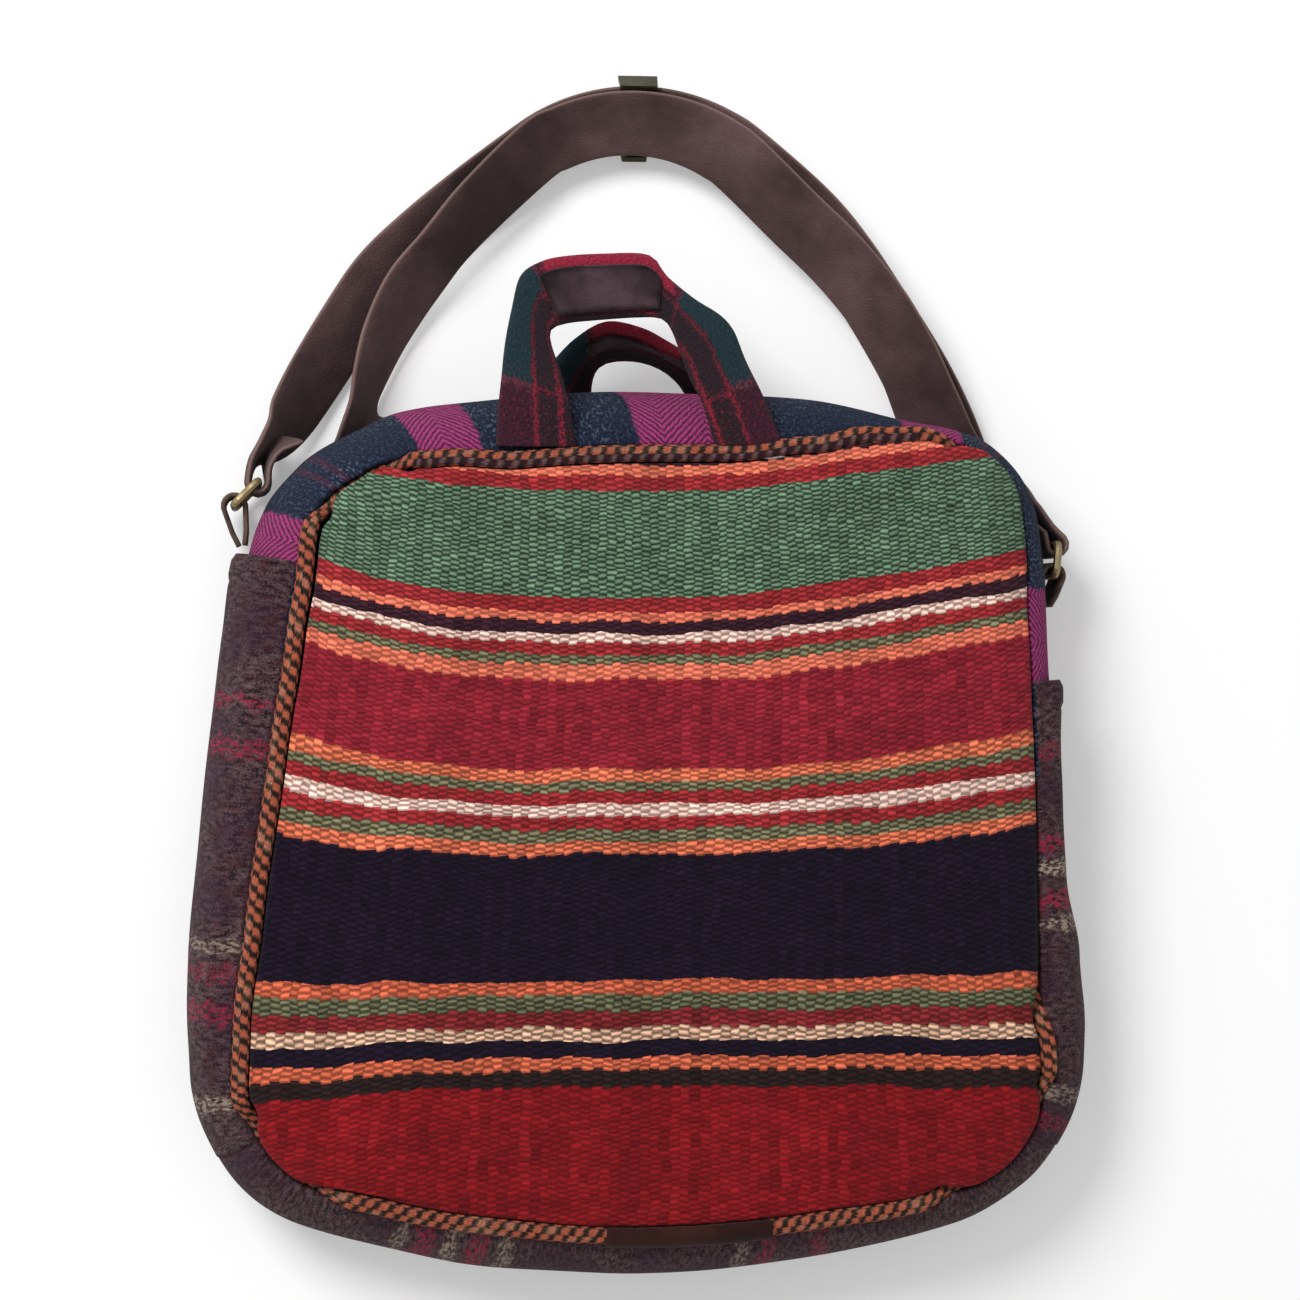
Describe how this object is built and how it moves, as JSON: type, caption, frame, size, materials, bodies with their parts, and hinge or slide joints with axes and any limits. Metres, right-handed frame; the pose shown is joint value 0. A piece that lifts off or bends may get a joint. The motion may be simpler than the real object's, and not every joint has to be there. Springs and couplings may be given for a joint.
{
  "type": "crossbody bag",
  "caption": "Kilim crossbody bag lying on its back: striped woven front, tweed and herringbone sides, short handles and a long suede strap.",
  "frame": {"origin": "middle of the flat back panel, which lies on the floor", "axes": "+X towards the bag's right as seen from the front, +Y towards its top, +Z out of its front panel"},
  "size_m": [0.305, 0.4086, 0.0636],
  "materials": {
    "kilim_wool": "flat-woven wool with ribs",
    "welt_cotton": "checkered cotton over cord",
    "herringbone_wool": "soft twill",
    "tweed_wool": "soft plaid tweed",
    "plaid_wool": "plaid wool, padded",
    "suede": "napped",
    "leather": "smooth, waxed",
    "zip_tape": "woven tape",
    "antique_brass": "aged, satin",
    "dark_lacquer": "dark lacquered metal, satin"
  },
  "bodies": {
    "bag": {"front_panel": "kilim_wool", "back_panel": "herringbone_wool", "top_gusset_front": "herringbone_wool", "top_gusset_rear": "herringbone_wool", "lower_gusset": "tweed_wool", "left_pocket": "tweed_wool", "right_pocket": "tweed_wool", "front_piping": "welt_cotton", "piping_join_patch": "suede", "zip_tape_front": "zip_tape", "zip_tape_rear": "zip_tape", "zip_teeth_front": "antique_brass", "zip_teeth_rear": "antique_brass", "zip_stop_left": "antique_brass", "zip_stop_right": "antique_brass", "front_handle": "plaid_wool", "front_handle_grip": "suede", "rear_handle": "plaid_wool", "rear_handle_grip": "suede", "shoulder_strap": "suede", "left_tab": "leather", "right_tab": "leather"},
    "slider": {"zip_slider": "antique_brass", "zip_slider_base": "antique_brass"},
    "puller": {"zip_puller": "antique_brass"},
    "slide": {"strap_slide": "dark_lacquer"},
    "ring_left": {"left_ring": "antique_brass"},
    "ring_right": {"right_ring": "antique_brass"}
  },
  "joints": [
    {"name": "zip_run", "type": "hinge", "parent": "bag", "child": "slider", "pos_m": [0, -0.37, 0.02], "axis": [0, 0, 1], "range_deg": [0, 15.3]},
    {"name": "zip_pull", "type": "hinge", "parent": "slider", "child": "puller", "pos_m": [0.0689, 0.14243, 0.01936], "axis": [-0.0729, -0.542, -0.8372], "range_deg": [0, 110]},
    {"name": "strap_slide_run", "type": "hinge", "parent": "bag", "child": "slide", "pos_m": [0.0012, 0.185, 0.0123], "axis": [0, 0, 1], "range_deg": [-25, 25]},
    {"name": "left_ring_swing", "type": "hinge", "parent": "bag", "child": "ring_left", "pos_m": [-0.1281, 0.1184, 0.02], "axis": [0, 0, 1], "range_deg": [-5, 5]},
    {"name": "right_ring_swing", "type": "hinge", "parent": "bag", "child": "ring_right", "pos_m": [0.1447, 0.0982, 0.0195], "axis": [0, 0, 1], "range_deg": [-5, 5]}
  ]
}
